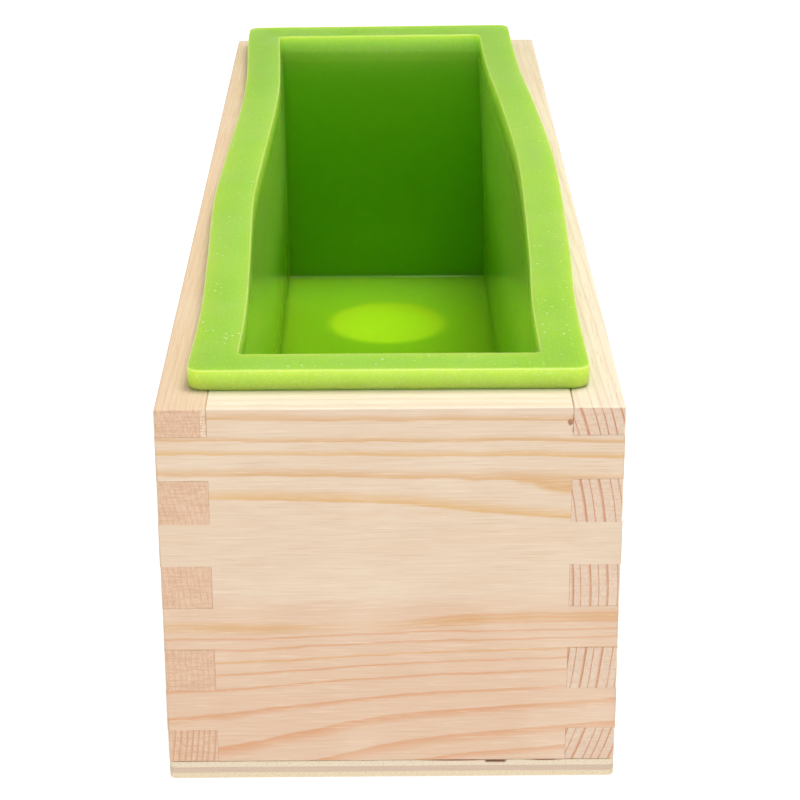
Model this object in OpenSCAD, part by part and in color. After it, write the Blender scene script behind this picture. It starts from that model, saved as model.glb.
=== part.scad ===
// Soap loaf mould: a finger-jointed pine box with a thin plywood base, and a flexible silicone
// liner that hangs in it by its flange and lifts out with the set soap.
// Frame: +Z up, X across the width, Y along the length, origin under the middle of the base.
// Millimetres.

/* [Box] */
// Outside width of the box
box_w = 90; // [86:1:120]
// Outside length of the box
box_l = 295; // [220:5:360]
// Height of the four boards, without the base
board_h = 77; // [70:1:90]
// Thickness of the four boards
board_t = 10; // [9:0.5:11]
// Thickness of the plywood base
base_t = 4; // [3:0.5:6]

/* [Finger joints] */
// Number of fingers on each end of an end board
fingers = 4; // [3:1:5]
// Height of the side board's top finger, which is cut short
top_finger_h = 5.8; // [4:0.1:8]
// Height of the side board's bottom finger, which is cut short
bottom_finger_h = 7.15; // [4:0.05:9]

/* [Push-out holes] */
// Diameter of the holes in the base
hole_d = 32; // [15:1:40]
// Distance from each end of the box to the middle of the hole near it
hole_inset = 57.5; // [35:0.5:70]

/* [Liner] */
// Gap between the liner and each side board
side_gap = 0.3; // [0.2:0.1:1]
// Gap between the liner and each end board
end_gap = 2.6; // [0.3:0.1:3]
// Thickness of the liner's walls
wall_t = 4; // [3:0.5:4]
// Thickness of the liner's floor
floor_t = 5.8; // [4:0.2:8]
// Width of the flange, from the inside of the wall to its outer edge
flange_w = 8.8; // [8:0.1:11]
// Thickness of the flange
flange_t = 4.4; // [3:0.1:6]

/* [Base nails] */
// Diameter of a nail's shank
nail_d = 1.2; // [1:0.1:1.6]
// Length of a nail
nail_l = 16; // [12:1:20]
// Diameter of a nail's head
nail_head_d = 2.4; // [2:0.1:3]
// Number of nails along each long side
side_nails = 4; // [3:1:6]

/* [Hidden] */
$fn = 96;

finger_h = (board_h - top_finger_h - bottom_finger_h) / (2 * fingers - 1);
finger_pitch = 2 * finger_h;
box_h = board_h + base_t;
hole_offset = box_l / 2 - hole_inset;

inner_w = box_w - 2 * board_t;
inner_l = box_l - 2 * board_t;

liner_w = inner_w - 2 * side_gap;
liner_l = inner_l - 2 * end_gap;
cavity_w = liner_w - 2 * wall_t;
cavity_l = liner_l - 2 * wall_t;
flange_outer_w = cavity_w + 2 * flange_w;
flange_outer_l = cavity_l + 2 * flange_w;
liner_r = 3;
cavity_r = 1.5;
flange_r = 3;
floor_gap = 0.1;
liner_bottom = base_t + floor_gap;
liner_top = box_h + flange_t;

nail_head_t = 0.8;
nail_fit = 0.02;
nail_end_margin = 30;
end_nail_offset = 22;

// Height at which the end board's finger number i starts, counted down from the top one.
function finger_bottom(i) = box_h - top_finger_h - finger_h - i * finger_pitch;

// Places of the nails on the underside, [x, y]: a row in each side board and two in each end board.
side_nail_span = box_l - 2 * nail_end_margin;
nail_places = concat(
    [for (side = [-1, 1], i = [0 : side_nails - 1])
        [side * (box_w - board_t) / 2,
         i * side_nail_span / (side_nails - 1) - side_nail_span / 2]],
    [for (side = [-1, 1], end = [-1, 1])
        [side * end_nail_offset, end * (box_l - board_t) / 2]]
);

// A block w wide, l long and h high on a centred plan, with upright corners of radius r.
module rounded_block(w, l, h, r) {
    linear_extrude(h) {
        square([w - 2 * r, l], center = true);
        square([w, l - 2 * r], center = true);
        for (x = [-1, 1], y = [-1, 1])
            translate([x * (w / 2 - r), y * (l / 2 - r)]) circle(r);
    }
}

// The spaces of the end board's fingers, which the side board leaves free.
module end_fingers() {
    for (i = [0 : fingers - 1])
        translate([-box_w / 2, 0, finger_bottom(i)])
            cube([box_w, board_t, finger_h]);
}

// Shanks and heads of the nails, larger by grow all round, for the nails and for their holes.
module nail_shapes(grow) {
    for (place = nail_places) translate([place[0], place[1], -grow]) {
        cylinder(h = nail_l + 2 * grow, r = nail_d / 2 + grow);
        cylinder(h = nail_head_t + 2 * grow, r = nail_head_d / 2 + grow);
    }
}

// An end board at the front: its body stands between the side boards, and its fingers reach
// through them to the outside.
module end_board() {
    difference() {
        union() {
            translate([-inner_w / 2, -box_l / 2, base_t]) cube([inner_w, board_t, board_h]);
            translate([0, -box_l / 2, 0]) end_fingers();
        }
        nail_shapes(nail_fit);
    }
}

// A side board on the right: full length, with a notch at each end for every end board finger.
module side_board() {
    difference() {
        translate([inner_w / 2, -box_l / 2, base_t]) cube([board_t, box_l, board_h]);
        for (y = [-box_l / 2, box_l / 2 - board_t]) translate([0, y, 0]) end_fingers();
        nail_shapes(nail_fit);
    }
}

module front_end_board() {
    color("burlywood") end_board();
}

module rear_end_board() {
    color("burlywood") mirror([0, 1, 0]) end_board();
}

module left_side_board() {
    color("wheat") mirror([1, 0, 0]) side_board();
}

module right_side_board() {
    color("wheat") side_board();
}

// The base covers the whole underside. Fingers go through its two holes to push the liner out.
module plywood_base() {
    color("tan") difference() {
        translate([-box_w / 2, -box_l / 2, 0]) cube([box_w, box_l, base_t]);
        for (y = [-hole_offset, hole_offset])
            translate([0, y, -base_t / 2]) cylinder(h = 2 * base_t, r = hole_d / 2);
        nail_shapes(nail_fit);
    }
}

module base_nails() {
    color("silver") nail_shapes(0);
}

// The liner is one moulding: a deep tray whose flange rests on the tops of the boards.
module silicone_liner() {
    color("yellowgreen") difference() {
        union() {
            translate([0, 0, liner_bottom])
                rounded_block(liner_w, liner_l, liner_top - liner_bottom, liner_r);
            translate([0, 0, box_h]) rounded_block(flange_outer_w, flange_outer_l, flange_t, flange_r);
        }
        translate([0, 0, liner_bottom + floor_t])
            rounded_block(cavity_w, cavity_l, liner_top, cavity_r);
    }
}

front_end_board();
rear_end_board();
left_side_board();
right_side_board();
plywood_base();
base_nails();
silicone_liner();
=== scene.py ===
import math

import bmesh
import bpy
from mathutils import Matrix, Vector


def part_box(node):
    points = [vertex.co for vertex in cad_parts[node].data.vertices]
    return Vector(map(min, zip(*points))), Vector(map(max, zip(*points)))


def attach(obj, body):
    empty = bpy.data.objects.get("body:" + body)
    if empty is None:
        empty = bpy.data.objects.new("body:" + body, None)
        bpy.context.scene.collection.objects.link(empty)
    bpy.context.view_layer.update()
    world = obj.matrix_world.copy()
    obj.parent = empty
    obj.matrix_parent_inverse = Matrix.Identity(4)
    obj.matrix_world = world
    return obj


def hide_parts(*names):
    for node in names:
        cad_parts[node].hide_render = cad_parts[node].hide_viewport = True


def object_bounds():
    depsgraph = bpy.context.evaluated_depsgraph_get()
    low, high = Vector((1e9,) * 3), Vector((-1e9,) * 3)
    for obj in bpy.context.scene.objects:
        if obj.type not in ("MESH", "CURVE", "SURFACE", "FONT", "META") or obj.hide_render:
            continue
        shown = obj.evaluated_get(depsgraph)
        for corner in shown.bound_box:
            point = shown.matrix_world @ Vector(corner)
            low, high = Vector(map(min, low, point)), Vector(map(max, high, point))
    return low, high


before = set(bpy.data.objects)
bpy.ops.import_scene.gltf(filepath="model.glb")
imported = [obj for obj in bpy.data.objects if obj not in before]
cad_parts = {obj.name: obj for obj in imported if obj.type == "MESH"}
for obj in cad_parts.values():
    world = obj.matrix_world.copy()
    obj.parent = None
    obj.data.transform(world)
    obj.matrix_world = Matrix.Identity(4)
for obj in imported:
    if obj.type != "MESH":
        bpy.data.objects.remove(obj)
cad_low, cad_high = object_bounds()

MM = 0.001


# ---------------------------------------------------------------- sizes, all from the frame

side_low, side_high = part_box("right_side_board")
base_low, base_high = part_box("plywood_base")
liner_low, liner_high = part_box("silicone_liner")

HALF_W = side_high.x
HALF_L = side_high.y
TOP = side_high.z
BASE_TOP = base_high.z
BOARD_T = side_high.x - side_low.x
INNER_W = side_low.x
INNER_L = HALF_L - BOARD_T
FLANGE_TOP = liner_high.z
FLANGE_W = liner_high.x


def levels(node, keep):
    """The different heights of a CAD node's vertices that keep() accepts, from the bottom up."""
    found = {round(v.co.z, 6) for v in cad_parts[node].data.vertices if keep(v.co)}
    return sorted(found)


def spread(node, axis, keep):
    """The largest coordinate along an axis of a CAD node's vertices that keep() accepts."""
    return max(v.co[axis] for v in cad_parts[node].data.vertices if keep(v.co))


finger_edges = levels("front_end_board", lambda p: p.x > HALF_W - 0.1 * MM)
FINGERS = list(zip(finger_edges[0::2], finger_edges[1::2]))

below_flange = levels("silicone_liner", lambda p: True)
LINER_FLOOR = below_flange[1]
WALL_W = spread("silicone_liner", 0, lambda p: p.z < TOP - MM)
CAVITY_W = spread("silicone_liner", 0, lambda p: abs(p.z - LINER_FLOOR) < 0.01 * MM)
CAVITY_L = spread("silicone_liner", 1, lambda p: abs(p.z - LINER_FLOOR) < 0.01 * MM)

hole_points = [v.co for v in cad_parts["plywood_base"].data.vertices
               if abs(v.co.x) < HALF_W / 2 and abs(v.co.y) < HALF_L - BOARD_T and v.co.y > 0]
HOLE_Y = (max(p.y for p in hole_points) + min(p.y for p in hole_points)) / 2
HOLE_R = (max(p.y for p in hole_points) - min(p.y for p in hole_points)) / 2




def nail_middles():
    """The middle of each nail head in the base, as (x, y)."""
    heads = []
    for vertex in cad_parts["base_nails"].data.vertices:
        if vertex.co.z > 0.1 * MM:
            continue
        head = next((h for h in heads if (h[0] - vertex.co.xy).length < 4 * MM), None)
        if head:
            head.append(vertex.co.xy)
        else:
            heads.append([vertex.co.xy])
    return [sum(head, Vector((0, 0))) / len(head) for head in heads]


# ---------------------------------------------------------------- colours and node graphs


def srgb(red, green, blue):
    """A colour of 0 to 255 as the linear colour that Blender's sockets take."""
    def linear(level):
        c = level / 255
        return c / 12.92 if c <= 0.04045 else ((c + 0.055) / 1.055) ** 2.4
    return (linear(red), linear(green), linear(blue), 1.0)


class Term:
    """A number or colour that flows through a node graph, with arithmetic on it."""

    def __init__(self, graph, socket):
        self.graph = graph
        self.socket = socket

    def __add__(self, other):
        return self.graph.math("ADD", self, other)

    def __sub__(self, other):
        return self.graph.math("SUBTRACT", self, other)

    def __mul__(self, other):
        return self.graph.math("MULTIPLY", self, other)

    def __truediv__(self, other):
        return self.graph.math("DIVIDE", self, other)

    def __radd__(self, other):
        return self.graph.math("ADD", other, self)

    def __rsub__(self, other):
        return self.graph.math("SUBTRACT", other, self)

    def __rmul__(self, other):
        return self.graph.math("MULTIPLY", other, self)


class Graph:
    """One material: a Principled shader and the nodes that feed it. Lengths are in millimetres."""

    def __init__(self, name, tree=None):
        if tree:
            self.tree = tree
            self.tree.nodes.clear()
            return
        self.material = bpy.data.materials.new(name)
        self.material.use_nodes = True
        self.tree = self.material.node_tree
        self.tree.nodes.clear()
        self.output = self.node("ShaderNodeOutputMaterial")
        self.shader = self.node("ShaderNodeBsdfPrincipled")
        self.tree.links.new(self.shader.outputs[0], self.output.inputs["Surface"])
        self.coordinates = self.node("ShaderNodeTexCoord")
        self.x, self.y, self.z = self.split(self.coordinates.outputs["Object"], 1 / MM)
        self.nx, self.ny, self.nz = self.split(self.coordinates.outputs["Normal"], 1)

    def node(self, kind, **settings):
        made = self.tree.nodes.new(kind)
        for name, value in settings.items():
            setattr(made, name, value)
        return made

    def feed(self, socket, value):
        """Links a term to a socket, or sets a plain number or colour on it."""
        if isinstance(value, Term):
            self.tree.links.new(value.socket, socket)
        else:
            socket.default_value = value

    def split(self, vector, factor):
        """The three parts of a vector socket, each times a factor."""
        parts = self.node("ShaderNodeSeparateXYZ")
        self.tree.links.new(vector, parts.inputs[0])
        return [Term(self, parts.outputs[i]) * factor for i in range(3)]

    def vector(self, x, y, z):
        joined = self.node("ShaderNodeCombineXYZ")
        for socket, value in zip(joined.inputs, (x, y, z)):
            self.feed(socket, value)
        return Term(self, joined.outputs[0])

    def math(self, operation, *values):
        made = self.node("ShaderNodeMath", operation=operation)
        for socket, value in zip(made.inputs, values):
            self.feed(socket, value)
        return Term(self, made.outputs[0])

    def absolute(self, a):
        return self.math("ABSOLUTE", a)

    def greatest(self, a, b):
        return self.math("MAXIMUM", a, b)

    def length(self, a, b):
        return self.math("SQRT", a * a + b * b)

    def step(self, value, low, high, start=0.0, end=1.0):
        """Eases from start, at low, to end, at high."""
        made = self.node("ShaderNodeMapRange", interpolation_type="SMOOTHSTEP")
        for socket, number in zip(made.inputs, (value, low, high, start, end)):
            self.feed(socket, number)
        return Term(self, made.outputs[0])

    def hump(self, value, middle, half_width):
        """1 at the middle, easing to 0 at half_width on either side."""
        return self.step(self.absolute(value - middle), half_width, 0.0)

    def noise(self, x, y, z, detail=2.0, roughness=0.5):
        """Smooth noise from 0 to 1, whose features are about one unit of x, y and z in size."""
        made = self.node("ShaderNodeTexNoise")
        self.feed(made.inputs["Vector"], self.vector(x, y, z))
        made.inputs["Scale"].default_value = 1.0
        made.inputs["Detail"].default_value = detail
        made.inputs["Roughness"].default_value = roughness
        return Term(self, made.outputs[0])

    def cells(self, x, y, z):
        """Distance to the nearest of scattered points, one to a unit cell, and its random number."""
        made = self.node("ShaderNodeTexVoronoi")
        self.feed(made.inputs["Vector"], self.vector(x, y, z))
        made.inputs["Scale"].default_value = 1.0
        pick = self.node("ShaderNodeSeparateColor")
        self.tree.links.new(made.outputs["Color"], pick.inputs[0])
        return Term(self, made.outputs["Distance"]), Term(self, pick.outputs[0])

    def ramp(self, value, stops):
        """A colour that follows a value through stops of (value, colour)."""
        made = self.node("ShaderNodeValToRGB")
        elements = made.color_ramp.elements
        while len(elements) < len(stops):
            elements.new(0.5)
        for element, (position, colour) in zip(elements, stops):
            element.position = position
            element.color = colour
        self.feed(made.inputs[0], value)
        return Term(self, made.outputs[0])

    def mix(self, share, first, second):
        """The first colour, with a share of the second laid over it."""
        made = self.node("ShaderNodeMix", data_type="RGBA", blend_type="MIX", clamp_factor=True)
        for name, value in (("Factor_Float", share), ("A_Color", first), ("B_Color", second)):
            socket = next(s for s in made.inputs if s.identifier == name)
            self.feed(socket, value)
        result = next(s for s in made.outputs if s.identifier == "Result_Color")
        return Term(self, result)

    def bump(self, height_mm):
        """Feeds the shader's normal from a height in millimetres."""
        made = self.node("ShaderNodeBump")
        made.inputs["Strength"].default_value = 1.0
        made.inputs["Distance"].default_value = MM
        self.feed(made.inputs["Height"], height_mm)
        self.tree.links.new(made.outputs[0], self.shader.inputs["Normal"])

    def surface(self, colour, roughness):
        self.feed(self.shader.inputs["Base Color"], colour)
        self.feed(self.shader.inputs["Roughness"], roughness)


# ---------------------------------------------------------------- wood

PALE = srgb(221, 198, 173)
PALE_PINK = srgb(218, 186, 159)
PALE_CREAM = srgb(240, 226, 203)
TOP_PALE = srgb(239, 225, 200)
TOP_PINK = srgb(228, 199, 167)
# The next colour is painted shade, for the back of the boards' tops.
TOP_FAR_SHADE = srgb(206, 186, 150)
YELLOW_LINE = srgb(215, 173, 118)
TAN_LINE = srgb(211, 168, 120)
ORANGE_LINE = srgb(211, 155, 116)
GOLD_LINE = srgb(212, 158, 102)
# Places in the end boards' figure, in millimetres: the fan's top, the upper bands' start and the
# length of wood that each ramp of lines covers. LINE_START is how abruptly a line starts.
FAN_TOP = 34.6
UPPER_START = 50.0
FIGURE_SPAN = 34.0
LINE_START = 0.25
END_GRAIN = srgb(222, 188, 160)
END_PALE = srgb(220, 197, 175)
END_LINE = srgb(192, 120, 82)
END_FLECK = srgb(202, 160, 130)
FIBRE = srgb(206, 172, 138)
STREAK = srgb(221, 188, 156)
RIGHT_RING = srgb(220, 180, 148)
LEFT_RING = srgb(212, 170, 134)
LEFT_TIP_RING = srgb(192, 138, 104)
FIBRE_PALE = srgb(236, 218, 194)
CHIP_BROWN = srgb(150, 92, 58)
SLIVER = srgb(236, 214, 186)
# Widths of the side boards' growth rings, in millimetres.
RIGHT_RINGS = 1.75
LEFT_RINGS = 1.15


def line_stops(lines, ground):
    """Stops of a ramp over FIGURE_SPAN for latewood lines of (place, width, colour).
    A line starts crisply at its place and fades out over its width."""
    stops = [(0.0, ground)]
    for place, width, colour in lines:
        stops += [
            ((place - LINE_START) / FIGURE_SPAN, ground),
            (place / FIGURE_SPAN, colour),
            ((place + width) / FIGURE_SPAN, ground),
        ]
    return stops + [(1.0, ground)]


def fan_figure(g, x, z, place):
    """Lines that spread and rise to the right in the lower half, counted down from FAN_TOP."""
    plunge = g.step(x, 12.0, -36.0) * g.step(z, 21.0, 4.0) * 5.0
    rise = g.step(x, -40.0, 20.0) * 1.3
    fan = (FAN_TOP - place - plunge + rise) / (1.0 - x * 0.003)
    return g.ramp(fan / FIGURE_SPAN, line_stops([
        (2.5, 0.5, ORANGE_LINE), (4.7, 0.5, ORANGE_LINE), (7.35, 0.45, GOLD_LINE),
        (9.7, 0.5, ORANGE_LINE), (12.7, 0.6, ORANGE_LINE), (16.7, 0.9, ORANGE_LINE),
        (21.0, 2.0, ORANGE_LINE), (27.0, 2.6, ORANGE_LINE), (32.0, 1.5, ORANGE_LINE),
    ], PALE_PINK))


def upper_figure(g, x, z, place):
    """Bands across the upper half, the lower ones dipping to the right."""
    dip = g.step(x, -8.0, 36.0) * g.step(z, 67.0, 62.0) * 3.0
    level = place + (x + 45.0) / 90.0 * g.step(z, 78.0, 64.0, 0.7, 1.9) + dip
    return g.ramp((level - UPPER_START) / FIGURE_SPAN, line_stops([
        (12.4, 2.6, YELLOW_LINE), (17.5, 1.9, TAN_LINE), (21.9, 1.2, YELLOW_LINE),
        (24.7, 1.0, TAN_LINE), (29.0, 1.2, TAN_LINE), (31.6, 0.6, YELLOW_LINE),
    ], PALE))


def fuzzy_band(g, x, z, place, colour):
    """A soft tan band over the fan, faint in the middle, with darker streaks on the right."""
    middle = 34.3 + g.step(x, -8.0, 26.0) * 2.1
    fuzz = g.noise(x / 12.0, 2.0, z / 0.35, 3.0, 0.6)
    away = g.step(g.absolute(x + 6.0), 2.0, 22.0, 0.35, 1.0)
    band = g.hump(place, middle, 1.9) * g.step(fuzz, 0.2, 0.5) * away
    colour = g.mix(band, colour, TAN_LINE)
    streaks = g.hump(place, middle, 0.35)
    for offset in (0.8, -0.9):
        streaks = streaks + g.hump(place, middle + offset, 0.4)
    return g.mix(streaks * g.step(x, -8.0, 20.0, 0.0, 0.7), colour, ORANGE_LINE)


def flat_sawn_colour(g, x, z):
    """The face of an end board: bands near the top, a plain middle, and a fan of lines below."""
    wander = g.noise(x / 36.0, 0.0, z / 16.0, 2.0) * 1.6 - 0.8
    ripple = g.noise(x / 7.0, 4.0, z / 4.0, 2.0) * 0.7 - 0.35
    place = z + wander + ripple
    colour = g.mix(g.step(z, 38.0, 42.0), fan_figure(g, x, z, place), upper_figure(g, x, z, place))
    patch = g.hump(z, 79.7, 1.5) * g.hump(x, -27.0, 14.0)
    colour = g.mix(patch * 0.6, colour, TAN_LINE)
    return fuzzy_band(g, x, z, place, colour)


def ring_colour(g, distance, spacing, ground, line, strength, start=0.45):
    """Growth rings: thin lines at each spacing of the distance from the pith, gradual then abrupt."""
    uneven = g.noise(distance / 3.7, 0.0, 0.0, 1.0) * 1.2
    place = g.math("FRACT", distance / spacing + uneven)
    late = g.step(place, start, 0.93) * g.step(place, 1.0, 0.95)
    return g.mix(late * strength, ground, line), late


def pine(name, grain, colour, late, seed):
    """Bare sanded pine. grain names the axis that the fibres follow; late is where latewood is hard."""
    g = Graph(name)
    x, y, z = g.x, g.y, g.z
    along, across, end = (x, y, g.nx) if grain == "x" else (y, x, g.ny)
    ground, hard = colour(g), late(g) if late else None
    fibres = g.noise(along / 9.0, across / 0.26, z / 0.26 + seed, 3.0, 0.7)
    streaks = g.noise(along / 45.0, across / 2.6, z / 2.6 + seed, 2.0)
    clouds = g.noise(x / 24.0, y / 24.0, z / 24.0 + seed, 2.0)
    is_end = g.step(g.absolute(end), 0.6, 0.9)
    # Painted shade: the top faces darken towards the back.
    ground = g.mix(g.step(y, 0.0, 150.0) * g.step(g.nz, 0.5, 0.9) * 0.5, ground, TOP_FAR_SHADE)
    tone = g.mix(g.step(fibres, 0.5, 0.72) * 0.5, ground, FIBRE)
    tone = g.mix(g.step(fibres, 0.46, 0.3) * 0.45, tone, FIBRE_PALE)
    tone = g.mix(g.step(streaks, 0.5, 0.75) * 0.3, tone, STREAK)
    tone = g.mix(g.step(clouds, 0.45, 0.7) * 0.15, tone, PALE_CREAM)
    rays = g.noise(along / 3.0, across / 0.28, z / 1.4 + seed, 2.0, 0.7)
    saw = g.noise(across / 4.0, along / 9.0, z / 0.34 + seed, 2.0, 0.6)
    hatch = is_end * g.step(x, 20.0, -20.0, 0.25, 0.48)
    tone = g.mix(hatch * g.step(rays, 0.46, 0.62), tone, END_FLECK)
    tone = g.mix(hatch * g.step(saw, 0.48, 0.6), tone, END_FLECK)
    g.surface(tone, g.step(fibres, 0.3, 0.8, 0.62, 0.78))
    ridge = fibres * 0.035 + rays * is_end * 0.05
    g.bump(ridge + hard * 0.02 if hard is not None else ridge)
    g.shader.inputs["Specular IOR Level"].default_value = 0.25
    return g.material


# ---------------------------------------------------------------- mesh helpers


def piece(name, mesh, body, node, material, smooth_angle=40):
    """A finished mesh as a shown piece that rides on a body and stands for a CAD node."""
    made = bpy.data.objects.new(name, mesh)
    bpy.context.scene.collection.objects.link(made)
    mesh.materials.append(material)
    mesh.shade_smooth()
    mesh.set_sharp_from_angle(angle=math.radians(smooth_angle))
    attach(made, body)
    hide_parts(node)
    return made


def weighted_bevel(made, width, segments):
    """Rounds each edge by its bevel weight times the width."""
    bevel = made.modifiers.new("arrises", "BEVEL")
    bevel.width = width
    bevel.segments = segments
    bevel.limit_method = "WEIGHT"
    bevel.use_clamp_overlap = True


ARRIS = 0.6 * MM
JOINT_SHARE = 0.14
INNER_SHARE = 0.5


def edge_share(first, second):
    """How much an edge of the box is rounded: all on the outside arrises, less at the joints."""
    def on(axis, place):
        return abs(abs(first[axis]) - place) < 0.3 * MM and abs(abs(second[axis]) - place) < 0.3 * MM
    outside = [on(0, HALF_W), on(1, HALF_L), on(2, TOP)]
    if sum(outside) >= 2:
        return 1.0
    right_joint = on(0, INNER_W) and first.x > 0
    if on(2, TOP) and (right_joint or on(1, INNER_L)):
        return INNER_SHARE
    return JOINT_SHARE


def prism(outline, axis, low, high):
    """A closed mesh: an outline of (along, z) points, extruded along an axis, with bevel weights."""
    def corner(point, depth):
        return (depth, point[0], point[1]) if axis == 0 else (point[0], depth, point[1])
    mesh = bpy.data.meshes.new("prism")
    work = bmesh.new()
    near = [work.verts.new(corner(p, low)) for p in outline]
    far = [work.verts.new(corner(p, high)) for p in outline]
    work.faces.new(near)
    work.faces.new(reversed(far))
    for i in range(len(outline)):
        j = (i + 1) % len(outline)
        work.faces.new((near[i], far[i], far[j], near[j]))
    bmesh.ops.recalc_face_normals(work, faces=work.faces)
    weight = work.edges.layers.float.new("bevel_weight_edge")
    for edge in work.edges:
        edge[weight] = edge_share(edge.verts[0].co, edge.verts[1].co)
    work.to_mesh(mesh)
    work.free()
    return mesh


# ---------------------------------------------------------------- boards

# How far each finger's end stands out of, or sinks below, the face beside it, from the bottom up.
END_FINGER_STEPS = [0.06 * MM, -0.05 * MM, 0.08 * MM, 0.02 * MM]
SIDE_FINGER_STEPS = [-0.04 * MM, 0.07 * MM, -0.06 * MM, 0.05 * MM, -0.08 * MM]
CRACK = 0.04 * MM


def end_board_outline():
    """(x, z) points of an end board. Its top corners stand a crack away from the side boards."""
    right, left = [], []
    for (low, high), out in zip(FINGERS, END_FINGER_STEPS):
        tip = HALF_W + out
        right += [(INNER_W, low), (tip, low), (tip, high), (INNER_W, high)]
        left += [(-INNER_W, low), (-tip, low), (-tip, high), (-INNER_W, high)]
    bottom = [(-INNER_W, BASE_TOP), (INNER_W, BASE_TOP)]
    last = FINGERS[-1][1]
    rise = TOP - last
    chipped = [
        (INNER_W - CRACK, last + 0.1 * rise),
        (INNER_W - CRACK, TOP),
    ]
    cracked = [
        (-INNER_W, TOP),
        (-INNER_W + CRACK, TOP - 0.1 * rise),
        (-INNER_W + CRACK, last + 0.1 * rise),
    ]
    return bottom + right + chipped + cracked + left[::-1]


def side_board_outline():
    """(y, z) points of a side board, with a notch at each end for every end board finger."""
    front, back = [], []
    edges = [BASE_TOP, *(z for finger in FINGERS for z in finger), TOP]
    for (low, high), out in zip(zip(edges[0::2], edges[1::2]), SIDE_FINGER_STEPS):
        tip = HALF_L + out
        front += [(-tip, low), (-tip, high), (-INNER_L, high)]
        back += [(tip, low), (tip, high), (INNER_L, high)]
        if high < TOP:
            notch_top = next(z for z in edges if z > high)
            front += [(-INNER_L, notch_top)]
            back += [(INNER_L, notch_top)]
    front = [p for p in front if not (p[1] == TOP and p[0] == -INNER_L)]
    back = [p for p in back if not (p[1] == TOP and p[0] == INNER_L)]
    return front + back[::-1]


def end_pine():
    def colour(g):
        rear = g.step(g.y, -1.0, 1.0)
        face = flat_sawn_colour(g, g.x, g.z + rear * 4.0)
        chip = g.length((g.x - 34.4) / 0.7, (g.z - 77.9) / 0.8) + g.noise(g.x, g.z, 0.0) * 0.8
        face = g.mix(g.step(chip, 1.35, 1.0) * 0.85 * (1.0 - rear), face, CHIP_BROWN)
        broken = g.step(g.noise(g.x, g.y / 1.1, g.z / 1.1, 1.0), 0.46, 0.54)
        joint = g.hump(g.x, 34.95, 0.22) * broken * g.step(g.z, 75.0, 75.4)
        pith = g.length(g.y + 177.5, g.z - 40.0)
        rings, _ = ring_colour(g, pith, 1.9, PALE_CREAM, YELLOW_LINE, 0.25)
        whole = g.mix(g.step(g.absolute(g.nz), 0.5, 0.9), face, rings)
        return g.mix(joint * 0.85, whole, CHIP_BROWN)
    return pine("end_board_pine", "x", colour, None, 11.0)


def right_pine():
    def pith(g):
        swerve = g.noise(g.y / 85.0, g.x / 40.0, g.z / 34.0 + 5.0, 2.0) * 3.0
        return g.length(g.x + 66.0, g.z - 42.0) + g.y * 0.022 + swerve

    def colour(g):
        is_end = g.step(g.absolute(g.ny), 0.6, 0.9)
        faint = g.step(g.nz, 0.5, 0.9, 0.62, 0.36)
        face, _ = ring_colour(g, pith(g), RIGHT_RINGS, TOP_PALE, RIGHT_RING, faint, 0.58)
        tip, _ = ring_colour(g, pith(g), RIGHT_RINGS, END_PALE, END_LINE, 1.0, 0.72)
        return g.mix(is_end, face, tip)

    def late(g):
        return ring_colour(g, pith(g), RIGHT_RINGS, PALE, END_LINE, 1.0)[1]
    return pine("right_board_pine", "y", colour, late, 3.0)


def left_pine():
    def pith(g):
        swerve = g.noise(g.y / 90.0, g.x / 40.0, g.z / 34.0 + 9.0, 2.0) * 2.4
        return g.length(g.x + 200.0, g.z - 22.0) - g.y * 0.02 + swerve

    def colour(g):
        is_end = g.step(g.absolute(g.ny), 0.6, 0.9)
        clear = g.step(g.z, 15.0, 11.0, 0.22, 0.85)
        faint = g.step(g.nz, 0.5, 0.9, 0.5, 0.26)
        face, _ = ring_colour(g, pith(g), LEFT_RINGS, TOP_PINK, LEFT_RING, faint, 0.55)
        tip, _ = ring_colour(g, pith(g), LEFT_RINGS, END_GRAIN, LEFT_TIP_RING, 1.0)
        plain = g.mix(clear, END_GRAIN, tip)
        torn = g.step(g.z, 74.0, 75.5) * g.step(g.x, -36.3, -36.2)
        plain = g.mix(torn, plain, SLIVER)
        plain = g.mix(torn * g.hump(g.x, -36.25, 0.15) * 0.8, plain, CHIP_BROWN)
        return g.mix(is_end, face, plain)
    return pine("left_board_pine", "y", colour, None, 7.0)


def boards():
    end_material, left_material, right_material = end_pine(), left_pine(), right_pine()
    for name, low, high in (
        ("front_board", -HALF_L, -INNER_L),
        ("rear_board", INNER_L, HALF_L),
    ):
        node = name.replace("_board", "_end_board")
        mesh = prism(end_board_outline(), 1, low, high)
        made = piece(name, mesh, "box", node, end_material)
        weighted_bevel(made, ARRIS, 3)
    for name, low, high, material in (
        ("left_board", -HALF_W, -INNER_W, left_material),
        ("right_board", INNER_W, HALF_W, right_material),
    ):
        node = name.replace("_board", "_side_board")
        mesh = prism(side_board_outline(), 0, low, high)
        made = piece(name, mesh, "box", node, material)
        weighted_bevel(made, ARRIS, 3)


# ---------------------------------------------------------------- plywood base and nails

BASE_CORNER_R = 1.2 * MM
NAIL_HOLE_R = 1.24 * MM
BASE_EASE = 0.35 * MM


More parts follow.
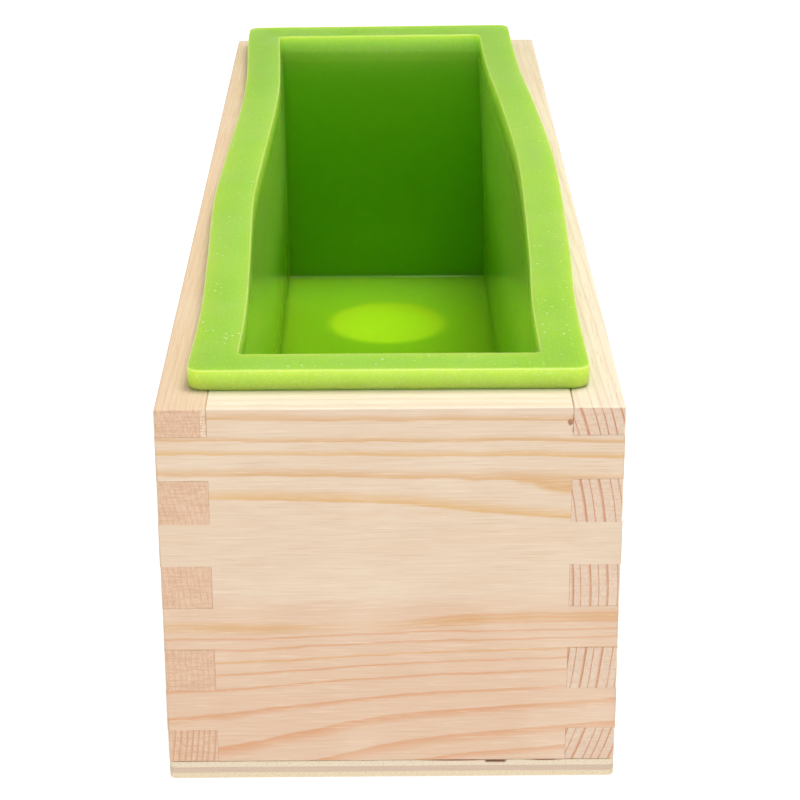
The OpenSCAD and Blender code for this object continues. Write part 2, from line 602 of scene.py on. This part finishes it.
def loop_points(half_x, half_y, radius, side_steps, corner_steps):
    """Points around a rounded rectangle, counter-clockwise from the middle of the right side's start."""
    points = []
    steps_x, steps_y = side_steps
    corners = [
        (1, 1, 0.0, Vector((-1, 0)), 2 * (half_x - radius), steps_x),
        (-1, 1, math.pi / 2, Vector((0, -1)), 2 * (half_y - radius), steps_y),
        (-1, -1, math.pi, Vector((1, 0)), 2 * (half_x - radius), steps_x),
        (1, -1, 1.5 * math.pi, Vector((0, 1)), 2 * (half_y - radius), steps_y),
    ]
    for sign_x, sign_y, start, heading, run, steps in corners:
        middle = Vector((sign_x * (half_x - radius), sign_y * (half_y - radius)))
        for i in range(corner_steps + 1):
            angle = start + math.pi / 2 * i / corner_steps
            points.append(middle + radius * Vector((math.cos(angle), math.sin(angle))))
        last = points[-1].copy()
        for i in range(1, steps):
            points.append(last + heading * (run * i / steps))
    return points


def plywood_mesh():
    """A filled sheet with two holes, its edges eased, made from a flat curve."""
    curve = bpy.data.curves.new("sheet", "CURVE")
    curve.dimensions = "2D"
    curve.fill_mode = "BOTH"
    curve.extrude = (BASE_TOP - base_low.z) / 2 - BASE_EASE
    curve.bevel_depth = BASE_EASE
    curve.bevel_resolution = 2
    curve.offset = -BASE_EASE
    rings = [[Vector((p.x, p.y)) for p in loop_points(HALF_W, HALF_L, BASE_CORNER_R, (1, 1), 4)]]
    for centre_y in (-HOLE_Y, HOLE_Y):
        rings.append([
            Vector((HOLE_R * math.cos(a), centre_y + HOLE_R * math.sin(a)))
            for a in (math.tau * i / 72 for i in range(72))
        ])
    for middle in nail_middles():
        turns = [math.tau * i / 24 for i in range(24)]
        rings.append([middle + NAIL_HOLE_R * Vector((math.cos(a), math.sin(a))) for a in turns])
    for ring in rings:
        spline = curve.splines.new("POLY")
        spline.points.add(len(ring) - 1)
        for point, place in zip(spline.points, ring):
            point.co = (place.x, place.y, 0, 1)
        spline.use_cyclic_u = True
    holder = bpy.data.objects.new("sheet", curve)
    bpy.context.scene.collection.objects.link(holder)
    bpy.context.view_layer.update()
    mesh = bpy.data.meshes.new_from_object(holder.evaluated_get(bpy.context.evaluated_depsgraph_get()))
    bpy.data.objects.remove(holder)
    mesh.transform(Matrix.Translation((0, 0, (base_low.z + BASE_TOP) / 2)))
    return mesh


TOP_PLY = (srgb(228, 212, 186), srgb(205, 178, 142))
CORE_PLY = (srgb(214, 192, 172), srgb(196, 170, 146))
BOTTOM_PLY = (srgb(226, 208, 176), srgb(202, 176, 138))
PLY_FACE = (srgb(222, 196, 160), srgb(204, 172, 132))
PORE_BROWN = srgb(168, 128, 90)
GLUE_BROWN = srgb(150, 96, 72)
GAP_SHADE_BROWN = srgb(112, 66, 44)
STEEL = (srgb(176, 172, 166), srgb(120, 116, 110))


def plywood_edge(g, flecks):
    """The sheet's edge: three plies, the glue under the boards and the core's gaps, painted dark as shade."""
    x, y, z = g.x, g.y, g.z
    depth = z + g.noise(x / 30.0, y / 30.0, 0.0, 1.0) * 0.3 - 0.15
    top_ply = g.mix(g.step(flecks, 0.5, 0.7), *TOP_PLY)
    core = g.mix(g.noise(x / 9.0, y / 9.0, z / 0.3, 3.0), *CORE_PLY)
    bottom_ply = g.mix(g.step(flecks, 0.45, 0.75), *BOTTOM_PLY)
    edge = g.mix(g.step(depth, 1.25, 1.45), bottom_ply, core)
    edge = g.mix(g.step(depth, 2.55, 2.7), edge, top_ply)
    at_front = g.step(y, -140.0, -147.0)
    gap = g.step(g.noise(x / 7.0, y / 7.0, 3.0, 2.0), 0.66, 0.74)
    knot = g.step(g.hump(x, 21.0, 3.4) * at_front, 0.2, 0.5)
    void = g.greatest(gap, knot) * g.hump(z, 3.7, 0.55)
    seam = (g.hump(x, 13.0, 9.0) + g.hump(x, 31.0, 4.5)) * at_front * g.hump(z, 3.95, 0.4)
    edge = g.mix(seam * 1.6, edge, GLUE_BROWN)
    # Painted shade in the core's gaps and the knot hole, which are only shallow dips in the bump.
    edge = g.mix(void, edge, GAP_SHADE_BROWN)
    glue = g.hump(z, 4.0, 0.22) * g.step(g.noise(x / 3.0, y / 3.0, 0.0), 0.35, 0.6)
    return g.mix(glue * 0.8, edge, GLUE_BROWN), void


def plywood_face(g, pores):
    """The rotary-cut face, with its figure along the box."""
    figure = g.noise(g.x / 3.5, g.y / 70.0, 1.0, 3.0, 0.6)
    face = g.mix(g.step(figure, 0.4, 0.7), *PLY_FACE)
    return g.mix(g.step(pores, 0.58, 0.75) * 0.5, face, PORE_BROWN)


def plywood_material():
    g = Graph("plywood")
    flat = g.step(g.absolute(g.nz), 0.6, 0.9)
    flecks = g.noise(g.x / 0.5, g.y / 0.5, g.z / 0.25, 3.0, 0.7)
    pores = g.noise(g.x / 0.3, g.y / 5.0, 2.0, 2.0, 0.6)
    edge, void = plywood_edge(g, flecks)
    g.surface(g.mix(flat, edge, plywood_face(g, pores)), 0.7)
    g.bump(flecks * (1.0 - flat) * 0.08 + pores * flat * -0.05 - void * 0.3)
    g.shader.inputs["Specular IOR Level"].default_value = 0.25
    return g.material


def nail_material():
    g = Graph("nail_steel")
    scuffs = g.noise(g.x / 0.15, g.y / 0.15, g.z / 0.15, 3.0, 0.7)
    g.surface(g.mix(scuffs, *STEEL), g.step(scuffs, 0.2, 0.8, 0.28, 0.5))
    g.shader.inputs["Metallic"].default_value = 1.0
    g.bump(scuffs * 0.02)
    return g.material


def base():
    made = piece("base_sheet", plywood_mesh(), "box", "plywood_base", plywood_material(), 30)
    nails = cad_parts["base_nails"]
    nails.data.materials.clear()
    nails.data.materials.append(nail_material())
    return made


# ---------------------------------------------------------------- silicone liner

# Outward shift of the flange along each long side: (distance from the box's front, shift).
LEFT_WAVE = [
    (0, -1.0), (40, -1.6), (70, -0.9), (118, 0.6), (150, 0.0),
    (205, -1.4), (235, -1.1), (275, 0.6), (295, 0.6),
]
RIGHT_WAVE = [
    (0, -1.0), (45, -1.0), (80, 0.4), (150, 1.8),
    (205, 0.0), (240, -1.8), (275, -2.7), (295, -2.8),
]
# How much further the flange's inner and outer edges lie outward, on the left and on the right.
LEFT_SPREAD = (0.3, 0.9)
RIGHT_SPREAD = (0.1, 0.4)
BACK_SHIFT = 1.3 * MM
BACK_SPREAD = 1.4 * MM
BACK_LIFT = 0.6 * MM
BACK_CURL = 0.5 * MM
FLANGE_EASE = 0.4 * MM
FLANGE_LOWER_EASE = 0.9 * MM


def eased(points, place):
    """A smooth curve through (place, value) points, level at each end."""
    if place <= points[0][0]:
        return points[0][1]
    if place >= points[-1][0]:
        return points[-1][1]
    k = next(i for i in range(len(points) - 1) if points[i + 1][0] >= place)

    def slope(i):
        if i == 0 or i == len(points) - 1:
            return 0.0
        return (points[i + 1][1] - points[i - 1][1]) / (points[i + 1][0] - points[i - 1][0])
    (x0, y0), (x1, y1) = points[k], points[k + 1]
    run = x1 - x0
    t = (place - x0) / run
    rise = (2 * t**3 - 3 * t**2 + 1) * y0 + (3 * t**2 - 2 * t**3) * y1
    return rise + ((t**3 - 2 * t**2 + t) * slope(k) + (t**3 - t**2) * slope(k + 1)) * run


def flange_wave(point, reach):
    """How far the soft flange moves in X, at a place on its plan; reach is 0 inside, 1 outside."""
    place = (point.y + HALF_L) / MM
    wave, spread, sign = (LEFT_WAVE, LEFT_SPREAD, -1) if point.x < 0 else (RIGHT_WAVE, RIGHT_SPREAD, 1)
    share = min(1.0, abs(point.x) / CAVITY_W)
    shift = eased(wave, place) + spread[0] + (spread[1] - spread[0]) * reach
    return sign * share * shift * MM


def arc_stations(centre, radius, start, end, steps):
    """Places (out, z) round a quarter turn in the wall's section."""
    turns = [math.radians(start + (end - start) * i / steps) for i in range(steps + 1)]
    return [(centre[0] + radius * math.cos(a), centre[1] + radius * math.sin(a)) for a in turns]


def liner_section():
    """The wall's section, as (out, z, plan radius, part): out is how far beyond the cavity's wall."""
    wall = WALL_W - CAVITY_W
    lip = FLANGE_W - CAVITY_W
    ease = FLANGE_EASE
    ease_height = FLANGE_TOP - ease
    foot, floor_fillet, armpit = 2.0 * MM, 1.2 * MM, 0.3 * MM
    section = []

    def add(places, radius, part):
        section.extend((out, z, radius, part) for out, z in places)
    outer_r, flange_r, cavity_r = 3.0 * MM, 3.0 * MM, 1.5 * MM
    add(arc_stations((wall - foot, liner_low.z + foot), foot, -90, 0, 5), outer_r, "outside")
    rise = [liner_low.z + foot + (TOP - armpit - liner_low.z - foot) * i / 10 for i in range(1, 11)]
    add([(wall, z) for z in rise], outer_r, "outside")
    add([(wall + armpit, TOP)], outer_r, "outside")
    low_centre = (lip - FLANGE_LOWER_EASE, TOP + FLANGE_LOWER_EASE)
    add([(wall + armpit + 1.2 * MM, TOP)], flange_r, "flange")
    add(arc_stations(low_centre, FLANGE_LOWER_EASE, -90, 0, 4), flange_r, "flange")
    add([(lip, (TOP + FLANGE_TOP) / 2)], flange_r, "flange")
    add(arc_stations((lip - ease, ease_height), ease, 0, 90, 3), flange_r, "flange")
    add([(lip * s, FLANGE_TOP) for s in (0.85, 0.6, 0.35, 0.15)], flange_r, "flange")
    add(arc_stations((ease, ease_height), ease, 90, 180, 3), cavity_r, "inside")
    drop = ease_height - LINER_FLOOR - floor_fillet
    fall = [ease_height - drop * i / 14 for i in range(1, 15)]
    add([(0, z) for z in fall], cavity_r, "inside")
    turn = arc_stations((-floor_fillet, LINER_FLOOR + floor_fillet), floor_fillet, 0, -90, 4)
    add(turn[1:], cavity_r, "inside")
    add([(-4 * MM, LINER_FLOOR), (-12 * MM, LINER_FLOOR)], cavity_r, "inside")
    return section


def liner_point(plan, out, z, part):
    """Moves one point of the liner from its moulded place to where the soft wall really lies."""
    height = max(0.0, min(1.0, (z - LINER_FLOOR) / (FLANGE_TOP - LINER_FLOOR)))
    share = 1.0 if part == "flange" else height**1.6
    reach = max(0.0, min(1.0, out / (FLANGE_W - CAVITY_W)))
    x = plan.x + flange_wave(plan, reach) * share
    near_back = eased([(0.80, 0.0), (0.97, 1.0)], (plan.y + HALF_L) / (2 * HALF_L))
    y = plan.y + (BACK_SHIFT + BACK_SPREAD * near_back * reach) * share
    lean = 1.0 + 0.5 * plan.x / HALF_W
    lift = near_back * share * (BACK_LIFT * lean + BACK_CURL * reach)
    if part == "outside":
        x = max(-WALL_W, min(WALL_W, x))
        lift = 0.0
    return (x, y, z + lift)


def liner_mesh():
    """The liner as one closed skin: rings of its section, swept round its plan."""
    work = bmesh.new()
    rings = []
    for out, z, radius, part in liner_section():
        half_x, half_y = CAVITY_W + out, CAVITY_L + out
        corner = max(0.6 * MM, radius + min(0.0, out))
        plan = loop_points(half_x, half_y, corner, (18, 72), 5)
        rings.append([work.verts.new(liner_point(p, out, z, part)) for p in plan])
    for lower, upper in zip(rings, rings[1:]):
        for i in range(len(lower)):
            j = (i + 1) % len(lower)
            work.faces.new((lower[i], lower[j], upper[j], upper[i]))
    work.faces.new(reversed(rings[0]))
    work.faces.new(rings[-1])
    bmesh.ops.recalc_face_normals(work, faces=work.faces)
    mesh = bpy.data.meshes.new("liner")
    work.to_mesh(mesh)
    work.free()
    return mesh


LIME = (0.31, 0.60, 0.016, 1.0)
LIME_DEEP = (0.29, 0.58, 0.014, 1.0)
# Of the colours below, all but the outside colour and DUST paint light and shade into the liner: the cavity's
# lit and shaded parts, the holes' light, the rim's glow and the arris highlight. One shade colour also
# darkens a random haze on the outside.
LIME_PAINTED_LIGHT = (0.38, 0.74, 0.02, 1.0)
LIME_END_SHADE = (0.19, 0.57, 0.010, 1.0)
LIME_FLOOR_LIGHT = (0.42, 0.98, 0.06, 1.0)
LIME_OUTSIDE = (0.30, 0.48, 0.034, 1.0)
LIME_DEEP_SHADE = (0.15, 0.40, 0.008, 1.0)
LIME_WALL_LIGHT = (0.44, 0.96, 0.09, 1.0)
LIME_SHADE_AND_HAZE = (0.23, 0.47, 0.008, 1.0)
LIME_LIT = (0.46, 0.76, 0.02, 1.0)
RIM_GLOW_LIME = (0.44, 0.68, 0.08, 1.0)
# The next colour is a painted highlight for the flange's upper arris.
ARRIS_HIGHLIGHT = srgb(214, 240, 150)
DUST = srgb(236, 244, 214)
# Painted glow: the colour of the faint emission over the push-out holes.
HOLE_GLOW = (0.05, 0.03, 0.0, 1.0)
SCATTER = 18.0 * MM
# Size of the cells that hold one dust speck each, in millimetres.
SPECK_CELL = 1.3


def hole_light(g, on_floor):
    """1 on the cavity's floor above the push-out holes, where light coming through the silicone is painted in
    as a paler colour and a faint glow.
    """
    from_hole = g.length(g.x, g.absolute(g.y) - HOLE_Y / MM)
    return on_floor * g.step(from_hole, HOLE_R / MM + 3.3, HOLE_R / MM - 1.2)


def cavity_painted_light(g, colour, on_floor, lit):
    """Greens of the cavity, with painted light and shade: bright at the back of the floor, pale high on the
    long walls, darker low on them and on one side of the floor, deep at the end, paler over the holes.
    """
    x, y, z = g.x, g.y, g.z
    inner = g.step(z, 80.0, 76.0)
    side_wall = g.step(x * g.nx, -12.0, -22.0) * inner
    end_wall = g.step(y * g.ny, -60.0, -110.0) * inner
    # Painted light on the long walls and towards the back of the floor.
    colour = g.mix(side_wall * 0.1 + on_floor * g.step(y, 50.0, 118.0), colour, LIME_PAINTED_LIGHT)
    colour = g.mix(on_floor * g.step(y, 90.0, 128.0) * 0.6, colour, LIME_FLOOR_LIGHT)
    # Painted shade low on the long walls, then painted light high on them.
    low_side = side_wall * g.step(z, 36.0, 16.0) * g.step(x, 20.0, -20.0, 0.1, 0.5)
    colour = g.mix(low_side, colour, LIME_SHADE_AND_HAZE)
    high_side = side_wall * g.step(z, 20.0, 50.0) * g.step(x, -20.0, 20.0, 1.0, 0.85)
    colour = g.mix(high_side, colour, LIME_WALL_LIGHT)
    # Painted shade on one side of the floor and on the end wall, deepest low down.
    colour = g.mix(on_floor * g.step(x, 20.0, -20.0) * 0.4, colour, LIME_SHADE_AND_HAZE)
    colour = g.mix(end_wall * 0.7, colour, LIME_END_SHADE)
    colour = g.mix(end_wall * g.step(z, 66.0, 30.0) * 0.4, colour, LIME_DEEP_SHADE)
    # Painted light: a paler floor over the push-out holes.
    return g.mix(lit, colour, LIME_LIT)


def outside_tints(g, colour):
    """The outside of the walls and floor, with a faint haze."""
    x, y, z = g.x, g.y, g.z
    outward = g.greatest(g.step(x * g.nx + y * g.ny, 5.0, 20.0), g.step(g.nz, -0.4, -0.8))
    outside = outward * g.step(z, 80.0, 78.0)
    haze = g.noise(x / 22.0, y / 30.0, z / 14.0, 3.0, 0.6)
    colour = g.mix(outside, colour, LIME_OUTSIDE)
    colour = g.mix(outside * g.step(haze, 0.4, 0.65) * 0.10, colour, LIME_SHADE_AND_HAZE)
    return g.mix(outside * g.step(haze, 0.52, 0.3) * 0.02, colour, DUST)


def rim_painted_glow(g, colour):
    """Painted light: a yellower glow on the flange's upright faces and at the top of the cavity's walls."""
    x, y, z = g.x, g.y, g.z
    upright = g.step(g.nz, 0.9, 0.4)
    inward = 1.0 - g.step(x * g.nx + y * g.ny * 0.3, -5.0, 5.0)
    # Painted glow high on the cavity's walls, then on the flange's upright faces.
    colour = g.mix(inward * upright * g.step(z, 70.0, 88.0) * 0.6, colour, RIM_GLOW_LIME)
    return g.mix(upright * g.step(z, 80.7, 81.3) * 0.8, colour, RIM_GLOW_LIME)


def dust_specks(g, colour):
    """White specks of dust on top of the flange, crowded in places and towards the front."""
    x, y, z = g.x, g.y, g.z
    distance, chance = g.cells(x / SPECK_CELL, y / SPECK_CELL, z / SPECK_CELL)
    dusty = g.noise(x / 18.0, y / 18.0, 6.0, 1.0)
    crowd = g.step(dusty, 0.45, 0.7, 0.0, 0.07) + g.step(y, -60.0, -138.0, 0.0, 0.03)
    speck_size = g.step(chance, 0.5, 1.0, 0.0, 0.15) + g.step(chance, 0.35, 0.5) * crowd
    on_top = g.step(g.nz, 0.7, 0.95) * g.step(z, 70.0, 80.0)
    speck = g.math("LESS_THAN", distance, speck_size) * on_top
    return g.mix(speck * 0.75, colour, DUST)


def flange_shade_dust_highlight(g, colour):
    """The flange's top: darker at both ends with painted shade, with a film and a grain of dust, and a
    painted highlight on the arris.
    """
    x, y, z = g.x, g.y, g.z
    top_side = g.step(g.nz, 0.5, 0.9) * g.step(z, 70.0, 80.0)
    film = g.step(g.noise(x / 9.0, y / 14.0, z / 9.0, 1.0), 0.2, 0.8)
    # Painted shade: the flange's top darker towards the back and the front.
    colour = g.mix(top_side * g.step(y, 0.0, 130.0) * 0.85, colour, LIME_SHADE_AND_HAZE)
    colour = g.mix(top_side * g.step(y, -115.0, -132.0) * 0.3, colour, LIME_SHADE_AND_HAZE)
    colour = g.mix(top_side * film * 0.05, colour, DUST)
    speckle = g.noise(x / 0.5, y / 0.7, z / 0.5, 2.0, 0.7)
    grain = g.step(speckle, 0.5, 0.75) * g.step(z, 79.0, 81.0)
    colour = g.mix(grain * 0.16, colour, DUST)
    # Painted highlight along the flange's rounded upper arris.
    arris = g.hump(g.nz, 0.62, 0.42) * g.step(z, 83.6, 84.4)
    return g.mix(arris * 0.5, colour, ARRIS_HIGHLIGHT)


def silicone_material():
    """Soft silicone that scatters light. Its roughness must stay smooth: noise in it makes flecks."""
    g = Graph("green_silicone")
    x, y, z = g.x, g.y, g.z
    clouds = g.noise(x / 16.0, y / 16.0, z / 16.0, 0.0)
    on_floor = g.step(z, 14.0, 11.0) * g.step(g.nz, 0.5, 0.9)
    lit = hole_light(g, on_floor)
    colour = g.mix(g.step(clouds, 0.35, 0.7), LIME, LIME_DEEP)
    colour = cavity_painted_light(g, colour, on_floor, lit)
    colour = outside_tints(g, colour)
    colour = rim_painted_glow(g, colour)
    colour = dust_specks(g, colour)
    colour = flange_shade_dust_highlight(g, colour)
    glossy = g.step(g.absolute(x), 33.8, 32.6) * g.step(z, 11.0, 15.0) * g.step(z, 62.0, 30.0)
    g.surface(colour, g.step(z, 74.0, 84.0, 0.21 - glossy * 0.13, 0.38))
    g.bump(clouds * 0.05)
    # Painted glow: a faint emission over the push-out holes, though the liner is no lamp.
    g.feed(g.shader.inputs["Emission Color"], HOLE_GLOW)
    g.feed(g.shader.inputs["Emission Strength"], lit)
    g.shader.inputs["Subsurface Weight"].default_value = 1.0
    g.shader.inputs["Subsurface Radius"].default_value = (0.7, 1.0, 0.15)
    g.shader.inputs["Subsurface Scale"].default_value = SCATTER
    g.shader.inputs["Specular IOR Level"].default_value = 0.3
    return g.material


def liner():
    material = silicone_material()
    return piece("liner_skin", liner_mesh(), "liner", "silicone_liner", material, 50)


# ---------------------------------------------------------------- stage, light and camera

CAMERA_PLACE = Vector((-1.0, -557.2, 251.1)) * MM
CAMERA_PITCH, CAMERA_YAW, CAMERA_ROLL = math.radians(22.34), math.radians(-0.41), math.radians(-0.2)
CAMERA_LENS = 105.15


def camera():
    """The viewing angle: near, a little above, and looking down the box's length."""
    data = bpy.data.cameras.new("camera")
    data.lens = CAMERA_LENS
    data.sensor_width = 36.0
    data.clip_start = 0.01
    data.clip_end = 50.0
    made = bpy.data.objects.new("camera", data)
    bpy.context.scene.collection.objects.link(made)
    level = Vector((-math.sin(CAMERA_YAW), math.cos(CAMERA_YAW), 0))
    ahead = level * math.cos(CAMERA_PITCH) - Vector((0, 0, math.sin(CAMERA_PITCH)))
    right = Vector((math.cos(CAMERA_YAW), math.sin(CAMERA_YAW), 0))
    down = ahead.cross(right)
    turned_right = right * math.cos(CAMERA_ROLL) - down * math.sin(CAMERA_ROLL)
    turned_down = right * math.sin(CAMERA_ROLL) + down * math.cos(CAMERA_ROLL)
    turn = Matrix((turned_right, -turned_down, -ahead)).transposed()
    made.matrix_world = Matrix.Translation(CAMERA_PLACE) @ turn.to_4x4()
    bpy.context.scene.camera = made


FLOOR_GLOW = 0.78


def floor():
    """A pale plane that only the camera sees, and only from above: its bounced light is in the world."""
    g = Graph("floor")
    cloud = g.noise(g.x / 300.0, g.y / 300.0, 0.0)
    g.surface(g.mix(cloud, (0.36, 0.36, 0.36, 1), (0.42, 0.42, 0.42, 1)), 0.9)
    g.shader.inputs["Emission Color"].default_value = (1.0, 1.0, 1.0, 1.0)
    g.shader.inputs["Emission Strength"].default_value = FLOOR_GLOW
    clear = g.node("ShaderNodeBsdfTransparent")
    from_below = Term(g, g.node("ShaderNodeNewGeometry").outputs["Backfacing"])
    seen = Term(g, g.node("ShaderNodeLightPath").outputs["Is Camera Ray"])
    either = g.node("ShaderNodeMixShader")
    g.feed(either.inputs[0], seen * (1.0 - from_below))
    g.tree.links.new(clear.outputs[0], either.inputs[1])
    g.tree.links.new(g.shader.outputs[0], either.inputs[2])
    g.tree.links.new(either.outputs[0], g.output.inputs["Surface"])
    mesh = bpy.data.meshes.new("floor")
    work = bmesh.new()
    bmesh.ops.create_circle(work, cap_ends=True, segments=64, radius=6.0)
    work.to_mesh(mesh)
    work.free()
    mesh.materials.append(g.material)
    made = bpy.data.objects.new("floor", mesh)
    made.location.z = cad_low.z - 0.02 * MM
    bpy.context.scene.collection.objects.link(made)


def softbox(name, place, aim, size, power):
    data = bpy.data.lights.new(name, "AREA")
    data.shape = "RECTANGLE"
    data.size, data.size_y = size
    data.energy = power
    made = bpy.data.objects.new(name, data)
    made.location = place
    made.rotation_euler = (Vector(aim) - Vector(place)).to_track_quat("-Z", "Y").to_euler()
    bpy.context.scene.collection.objects.link(made)
    return made


def studio():
    """White paper below and behind, a dim room in front, and a bright ceiling."""
    world = bpy.data.worlds.new("studio")
    world.use_nodes = True
    g = Graph("studio", world.node_tree)
    background = g.node("ShaderNodeBackground")
    output = g.node("ShaderNodeOutputWorld")
    g.tree.links.new(background.outputs[0], output.inputs["Surface"])
    x, y, z = g.split(g.node("ShaderNodeTexCoord").outputs["Generated"], 1)
    behind = g.step(y, -0.3, 0.5)
    beside = g.step(g.absolute(x), 0.3, 0.6)
    room = 0.06 + 0.30 * behind + 0.55 * beside
    low = g.step(z, 0.3, 0.05) * g.greatest(1.0 - room, 0.0)
    ceiling = g.step(z, 0.6, 0.9) * g.step(y, -0.4, 0.2, 0.5, 1.3)
    paper = g.step(z, 0.0, -0.02)
    level = room + low + ceiling + paper * 0.25
    seen = Term(g, g.node("ShaderNodeLightPath").outputs["Is Camera Ray"])
    background.inputs["Color"].default_value = (1.0, 1.0, 1.0, 1.0)
    g.feed(background.inputs["Strength"], g.greatest(level * 0.8, seen * 1.1))
    bpy.context.scene.world = world


def lights():
    studio()
    softbox("ceiling", (0.3, 0.15, 1.45), (0, 0, 0.05), (0.7, 0.7), 11.5)
    softbox("front", (0.1, -1.6, 0.13), (0, -0.1, 0.05), (1.2, 0.3), 10.0)


def look():
    bpy.context.scene.view_settings.view_transform = "Standard"


camera()
boards()
base()
liner()
floor()
lights()
look()
